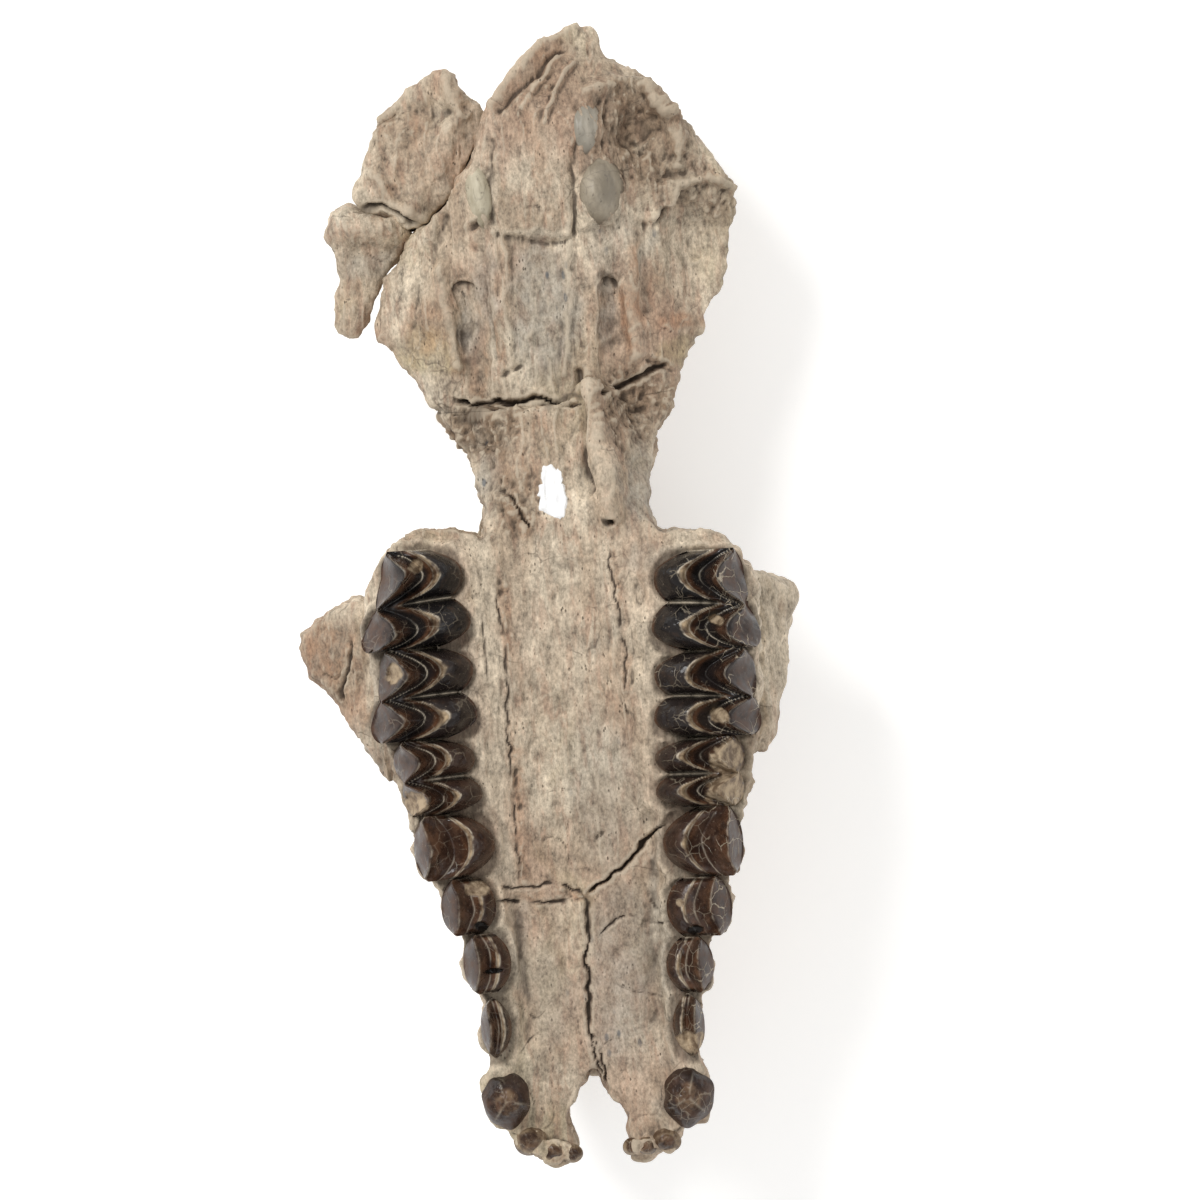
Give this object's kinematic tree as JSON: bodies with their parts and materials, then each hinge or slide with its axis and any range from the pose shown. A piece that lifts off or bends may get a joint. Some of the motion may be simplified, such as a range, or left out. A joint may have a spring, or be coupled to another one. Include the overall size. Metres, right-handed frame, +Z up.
{
  "type": "fossil oreodont skull",
  "caption": "Fossil oreodont skull without lower jaw, lying on its roof with palate, dark selenodont cheek teeth and skull base facing up.",
  "frame": {"origin": "on the floor under the middle of the skull", "axes": "+Z up, out of the palate; +Y towards the back of the skull; +X towards the animal's right side"},
  "size_m": [0.0954, 0.2156, 0.0681],
  "materials": {
    "fossil_bone": "dry porous fossil bone, tan with pinkish and grey streaks",
    "pale_bone": "dry fine-grained fossil bone, pale tan",
    "tooth_enamel": "glossy near-black to dark brown enamel with cream edges",
    "bulla_bone": "smooth grey-blue bone",
    "white_patch": "dried white paint, bare"
  },
  "bodies": {
    "root": {"maxilla_left": "pale_bone", "maxilla_right": "pale_bone", "premaxilla_left": "fossil_bone", "premaxilla_right": "fossil_bone", "jugal_left": "fossil_bone", "jugal_right": "fossil_bone", "squamosal_left": "fossil_bone", "squamosal_right": "fossil_bone", "nasals": "fossil_bone", "frontal": "fossil_bone", "sphenoid": "pale_bone", "skull_base": "pale_bone", "braincase": "fossil_bone", "occiput": "fossil_bone", "mastoid_plate_left": "fossil_bone", "zygomatic_root_left": "fossil_bone"}
  },
  "joints": []
}
